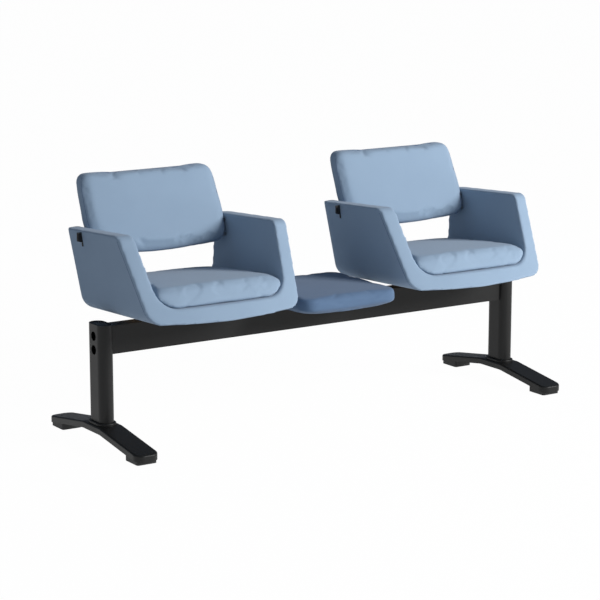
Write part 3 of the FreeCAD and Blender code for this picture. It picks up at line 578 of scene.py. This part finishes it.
def make_tabs():
    """A folded loop of tape, sewn into the arm's side, with a narrow tail below."""
    sewn_in = 2 * MM
    gap = 1.6 * MM
    loop_height = 26 * MM
    tail_share = 0.4
    tape_wall = 0.7 * MM
    turn_steps, rows = 8, 10
    low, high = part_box("left_label_tab")
    shape = bmesh.new()
    root = high.x - sewn_in
    tip = low.x
    middle = (low.y + high.y) / 2
    outline = [(root, middle - gap)]
    for step in range(turn_steps + 1):
        angle = math.radians(-90 - 180 * step / turn_steps)
        outline.append((tip + gap + gap * math.cos(angle), middle + gap * math.sin(angle)))
    outline.append((root, middle + gap))
    lower = [shape.verts.new((x, y, low.z)) for x, y in outline]
    edges = [shape.edges.new(pair) for pair in zip(lower, lower[1:])]
    for _ in range(rows):
        made = bmesh.ops.extrude_edge_only(shape, edges=edges)["geom"]
        corners = [g for g in made if isinstance(g, bmesh.types.BMVert)]
        edges = [g for g in made if isinstance(g, bmesh.types.BMEdge)]
        bmesh.ops.translate(shape, verts=corners, vec=(0, 0, (high.z - low.z) / rows))
    # The tail is narrower than the loop, and the tip follows the arm's lean.
    tail_from = high.z - loop_height
    for vert in shape.verts:
        if vert.co.z < tail_from:
            vert.co.x = root + (vert.co.x - root) * tail_share
        lean = ARM_LEAN * (vert.co.z - high.z)
        if vert.co.x > tip + 2 * gap:
            vert.co.x -= lean
    bmesh.ops.recalc_face_normals(shape, faces=shape.faces)
    mesh = bpy.data.meshes.new("left_tape_tab")
    shape.to_mesh(mesh)
    shape.free()
    tab = show("left_tape_tab", mesh, TAPE)
    wall = tab.modifiers.new("Wall", "SOLIDIFY")
    wall.thickness = tape_wall
    wall.offset = 0
    settle(tab)
    tab.data.materials[0] = TAPE
    both_chairs(tab, "tape_tab", "label_tab")


def finish_hard_parts():
    """Give every steel, plastic and plywood part its real finish."""
    finishes = [("cap", CAP_PLASTIC), ("glide", GLIDE_PLASTIC), ("bolts", ZINC),
                ("screws", ZINC), ("studs", ZINC), ("board", PLYWOOD)]
    for name, piece in NODES.items():
        material = next((m for word, m in finishes if word in name), BLACK_STEEL)
        piece.data.materials.clear()
        piece.data.materials.append(material)


# The studio.

def make_floor():
    """A white floor that shows to the camera as near white, with the object's shadow."""
    half_size = 40.0
    drop = 0.5 * MM
    # A little short of full, so that the object's shadow still shows faintly.
    glow_share = 0.985
    shape = bmesh.new()
    bmesh.ops.create_grid(shape, x_segments=1, y_segments=1, size=half_size)
    bmesh.ops.translate(shape, verts=shape.verts, vec=(0, 0, -drop))
    mesh = bpy.data.meshes.new("studio_floor")
    shape.to_mesh(mesh)
    shape.free()
    material, tree, _ = new_material("studio_floor_white")
    rays = add(tree, "ShaderNodeLightPath").outputs
    seen = add(tree, "ShaderNodeMath", {0: rays["Is Camera Ray"], 1: rays["Is Glossy Ray"]},
               operation="MAXIMUM")
    seen = add(tree, "ShaderNodeMath", {0: seen.outputs[0], 1: rays["Is Transmission Ray"]},
               operation="MAXIMUM")
    share = add(tree, "ShaderNodeMath", {0: seen.outputs[0], 1: glow_share}, operation="MULTIPLY")
    paint = add(tree, "ShaderNodeBsdfDiffuse", {"Color": linear("#FAFAFA")})
    glow = add(tree, "ShaderNodeEmission", {"Color": (1, 1, 1, 1), "Strength": 1.0})
    mix = add(tree, "ShaderNodeMixShader", {0: share.outputs[0], 1: paint.outputs[0],
                                            2: glow.outputs[0]})
    finish_material(tree, mix)
    floor = show("studio_floor", mesh, material)


def make_world():
    """Even soft light all round, cool on the object and seen as white."""
    tint = (0.72, 0.82, 1, 1)
    strength = 0.22
    world = bpy.data.worlds.new("studio")
    SCENE.world = world
    world.use_nodes = True
    tree = world.node_tree
    tree.nodes.clear()
    rays = add(tree, "ShaderNodeLightPath").outputs
    seen = add(tree, "ShaderNodeMath", {0: rays["Is Camera Ray"], 1: rays["Is Transmission Ray"]},
               operation="MAXIMUM")
    plain = add(tree, "ShaderNodeBackground", {"Color": (1, 1, 1, 1), "Strength": 1.0})
    light = add(tree, "ShaderNodeBackground", {"Color": tint, "Strength": strength})
    mix = add(tree, "ShaderNodeMixShader", {0: seen.outputs[0], 1: light.outputs[0],
                                            2: plain.outputs[0]})
    add(tree, "ShaderNodeOutputWorld", {"Surface": mix.outputs[0]})


def soft_box(name, place, aim, wide, power):
    """A square studio lamp turned towards a point."""
    lamp = bpy.data.lights.new(name, "AREA")
    lamp.shape = "SQUARE"
    lamp.size = wide
    lamp.energy = power
    holder = bpy.data.objects.new(name, lamp)
    SCENE.collection.objects.link(holder)
    holder.location = place
    holder.rotation_euler = (Vector(aim) - Vector(place)).to_track_quat("-Z", "Y").to_euler()


def make_lights():
    """A large key lamp from the front right, and a weak fill from the left."""
    soft_box("key_lamp", place=(3.5, -4.8, 3.0), aim=(0, 0, 0.5), wide=2.2, power=430)
    soft_box("fill_lamp", place=(-4.5, -2.0, 2.2), aim=(0, 0, 0.4), wide=2.4, power=12)


def make_camera():
    """A long lens from the front left, well above the seats and tipped down."""
    tip_down, turn = 11.70, -33.15
    lens = bpy.data.cameras.new("front_left_view")
    lens.sensor_width = 36
    lens.lens = 127.9
    lens.clip_end = 120
    camera = bpy.data.objects.new("front_left_view", lens)
    SCENE.collection.objects.link(camera)
    camera.location = (-3.559, -5.377, 1.681)
    camera.rotation_euler = (math.radians(90 - tip_down), 0, math.radians(turn))
    SCENE.camera = camera


finish_hard_parts()
make_shells()
make_cushions()
make_back_pads()
make_table()
make_tabs()
make_floor()
make_world()
make_lights()
make_camera()
SCENE.view_settings.view_transform = "Standard"

bpy.context.view_layer.update()
